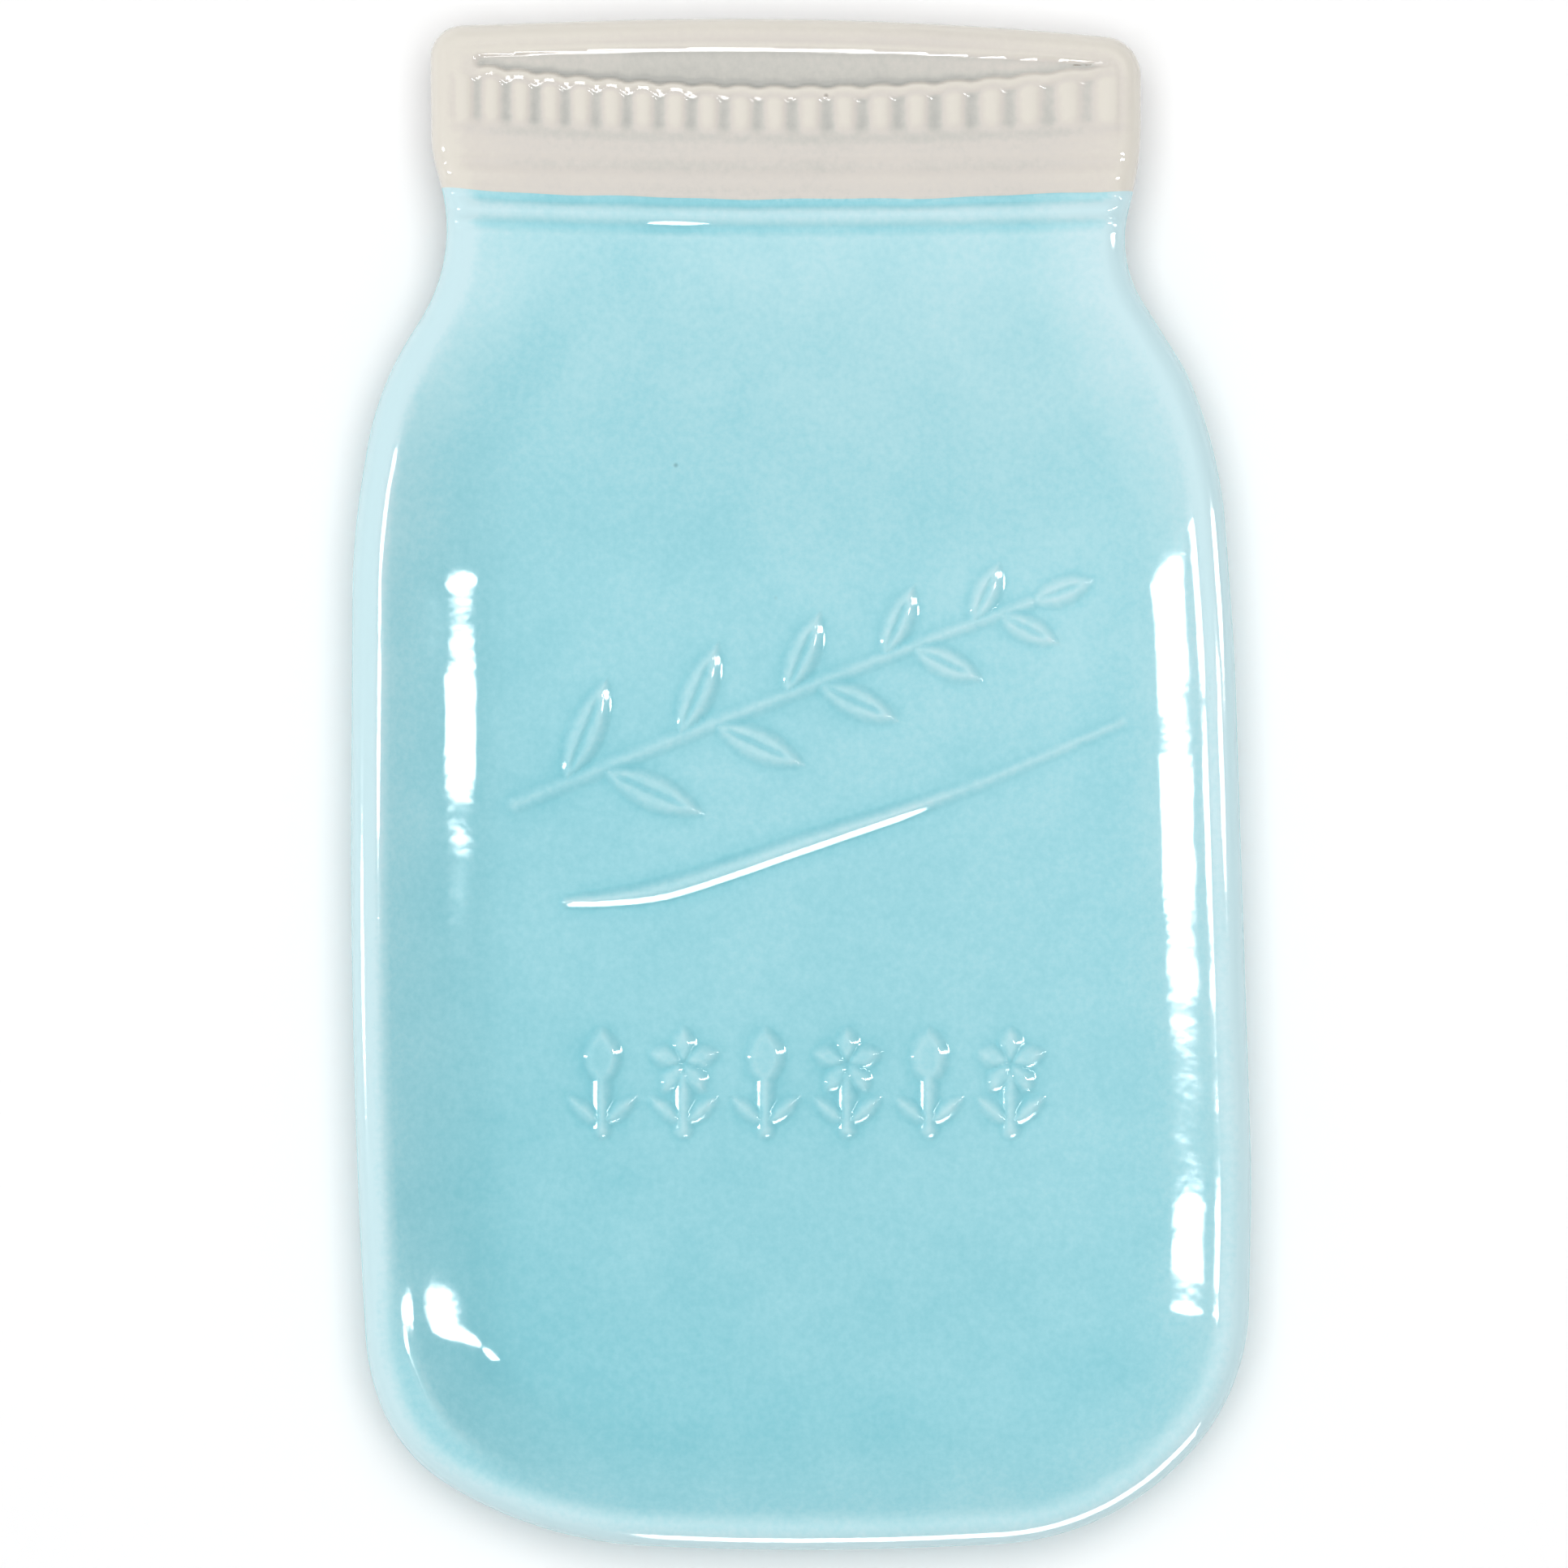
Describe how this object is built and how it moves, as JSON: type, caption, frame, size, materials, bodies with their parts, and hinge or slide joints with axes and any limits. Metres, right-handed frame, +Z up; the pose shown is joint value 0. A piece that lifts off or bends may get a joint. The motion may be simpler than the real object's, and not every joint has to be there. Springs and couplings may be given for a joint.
{
  "type": "glazed ceramic spoon rest dish",
  "caption": "Shallow glazed stoneware spoon rest in the outline of a screw-lid jar, with a rounded rim, a deep basin, raised leaf relief and a flat ribbed lid end.",
  "frame": {"origin": "centre of the plan outline on the plane that the foot ring stands on", "axes": "+Z up, out of the dish's hollow; +Y towards the lid end; +X to the right seen from above with the lid end away"},
  "size_m": [0.1382, 0.2355, 0.0171],
  "materials": {
    "bare_stoneware": "unglazed fired clay, matt, slightly rough",
    "aqua_glaze": "glossy aqua glaze, paler where it breaks over edges and deeper where it pools",
    "ivory_glaze": "glossy warm ivory glaze, greyer where it pools, with a few tiny dark specks"
  },
  "bodies": {
    "root": {"clay_body": "bare_stoneware", "aqua_glaze": "aqua_glaze", "ivory_glaze": "ivory_glaze"}
  },
  "joints": []
}
